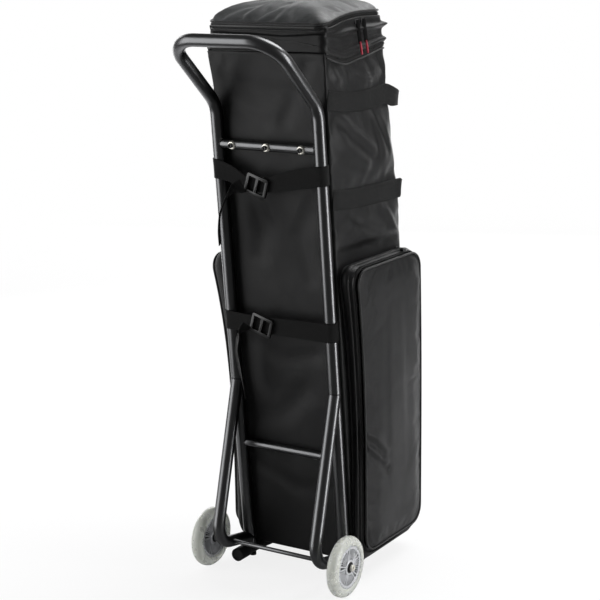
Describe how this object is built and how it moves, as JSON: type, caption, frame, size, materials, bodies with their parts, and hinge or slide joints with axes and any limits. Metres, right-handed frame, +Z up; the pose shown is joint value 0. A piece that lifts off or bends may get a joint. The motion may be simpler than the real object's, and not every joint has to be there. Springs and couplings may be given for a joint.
{
  "type": "two-wheeled drum hardware cart with a tall soft bag",
  "caption": "Tall black nylon bag for drum stands, strapped and screwed to a bent-tube hand truck with a U handle, angled legs, a toe loop and small clear wheels.",
  "frame": {"origin": "middle of the footprint, on the floor", "axes": "+X to the right seen from the handle side, +Y from the frame towards the bag, +Z up"},
  "size_m": [0.3674, 0.5156, 1.1735],
  "materials": {
    "gunmetal": "metallic powder coat, semi gloss",
    "black_steel": "satin",
    "nickel": "plated",
    "zinc": "plated",
    "hub_silver": "silver moulded",
    "tyre_clear": "translucent, gloss",
    "rubber": "matte",
    "nylon_cloth": "coarse weave, slight sheen",
    "webbing": "ribbed weave",
    "black_plastic": "moulded",
    "red_cord": "moulded"
  },
  "bodies": {
    "cart": {"main_frame_tube": "gunmetal", "upper_crossbar": "gunmetal", "lower_crossbar": "gunmetal", "leg_tube_left": "gunmetal", "leg_tube_right": "gunmetal", "axle": "gunmetal", "toe_loop": "black_steel", "crossbar_screw_1": "nickel", "crossbar_screw_2": "nickel", "crossbar_screw_3": "nickel", "cup_washer_1": "nickel", "cup_washer_2": "nickel", "cup_washer_3": "nickel", "axle_bolt_left": "nickel", "axle_bolt_right": "nickel", "backing_strip": "zinc", "axle_spacer_left": "zinc", "axle_spacer_right": "zinc", "axle_washer_left": "zinc", "axle_washer_right": "zinc", "toe_end_cap_left": "rubber", "toe_end_cap_right": "rubber", "frame_foot_left": "rubber", "frame_foot_right": "rubber", "front_foot_left": "rubber", "front_foot_right": "rubber", "bag_body": "nylon_cloth", "expansion_collar": "nylon_cloth", "pocket_tray_left": "nylon_cloth", "pocket_tray_right": "nylon_cloth", "carry_band_upper": "webbing", "carry_band_lower": "webbing", "frame_strap_upper": "webbing", "frame_strap_lower": "webbing", "strap_tail_upper": "webbing", "strap_tail_lower": "webbing", "base_board": "black_plastic", "strap_buckle_upper": "black_plastic", "strap_buckle_lower": "black_plastic"},
    "wheel_left": {"tyre_left": "tyre_clear", "hub_left": "hub_silver", "bearing_inner_left": "zinc", "bearing_outer_left": "zinc"},
    "wheel_right": {"tyre_right": "tyre_clear", "hub_right": "hub_silver", "bearing_inner_right": "zinc", "bearing_outer_right": "zinc"},
    "lid": {"lid": "nylon_cloth"},
    "lid_slider_rear": {"lid_slider_rear": "zinc"},
    "lid_slider_front": {"lid_slider_front": "zinc"},
    "lid_pull_rear": {"lid_pull_rear": "black_plastic", "lid_pull_tip_rear": "red_cord"},
    "lid_pull_front": {"lid_pull_front": "black_plastic", "lid_pull_tip_front": "red_cord"},
    "pocket_cover_left": {"pocket_cover_left": "nylon_cloth"},
    "pocket_cover_right": {"pocket_cover_right": "nylon_cloth"},
    "pocket_slider_left": {"pocket_slider_left": "zinc"},
    "pocket_slider_right": {"pocket_slider_right": "zinc"},
    "pocket_pull_left": {"pocket_pull_left": "black_plastic"},
    "pocket_pull_right": {"pocket_pull_right": "black_plastic"}
  },
  "joints": [
    {"name": "wheel_left_spin", "type": "hinge", "parent": "cart", "child": "wheel_left", "pos_m": [-0.1645, -0.07966, 0.0625], "axis": [1, 0, 0], "continuous": true},
    {"name": "wheel_right_spin", "type": "hinge", "parent": "cart", "child": "wheel_right", "pos_m": [0.1645, -0.07966, 0.0625], "axis": [1, 0, 0], "continuous": true},
    {"name": "lid_hinge", "type": "hinge", "parent": "cart", "child": "lid", "pos_m": [0, -0.0974, 1.1295], "axis": [1, 0, 0], "range_deg": [0, 145]},
    {"name": "lid_slider_rear_slide", "type": "slide", "parent": "cart", "child": "lid_slider_rear", "axis": [0, 0.9979, 0.0645], "range_m": [-0.08, 0]},
    {"name": "lid_slider_front_slide", "type": "slide", "parent": "cart", "child": "lid_slider_front", "axis": [0, 0.9979, 0.0645], "range_m": [0, 0.055]},
    {"name": "lid_pull_rear_swing", "type": "hinge", "parent": "lid_slider_rear", "child": "lid_pull_rear", "pos_m": [0.1372, 0.02034, 1.1418], "axis": [0, -1, 0], "range_deg": [0, 150]},
    {"name": "lid_pull_front_swing", "type": "hinge", "parent": "lid_slider_front", "child": "lid_pull_front", "pos_m": [0.1372, 0.04334, 1.1433], "axis": [0, -1, 0], "range_deg": [0, 150]},
    {"name": "pocket_cover_left_hinge", "type": "hinge", "parent": "cart", "child": "pocket_cover_left", "pos_m": [-0.15535, 0.1293, 0.057], "axis": [0, -1, 0], "range_deg": [0, 90]},
    {"name": "pocket_slider_left_slide", "type": "slide", "parent": "cart", "child": "pocket_slider_left", "axis": [0, 1, 0], "range_m": [-0.14, 0]},
    {"name": "pocket_pull_left_swing", "type": "hinge", "parent": "pocket_slider_left", "child": "pocket_pull_left", "pos_m": [-0.1677, 0.1593, 0.6732], "axis": [0, -1, 0], "range_deg": [0, 180]},
    {"name": "pocket_cover_right_hinge", "type": "hinge", "parent": "cart", "child": "pocket_cover_right", "pos_m": [0.15535, 0.1293, 0.057], "axis": [0, 1, 0], "range_deg": [0, 90]},
    {"name": "pocket_slider_right_slide", "type": "slide", "parent": "cart", "child": "pocket_slider_right", "axis": [0, 1, 0], "range_m": [-0.14, 0]},
    {"name": "pocket_pull_right_swing", "type": "hinge", "parent": "pocket_slider_right", "child": "pocket_pull_right", "pos_m": [0.1677, 0.1593, 0.6732], "axis": [0, 1, 0], "range_deg": [0, 180]}
  ]
}
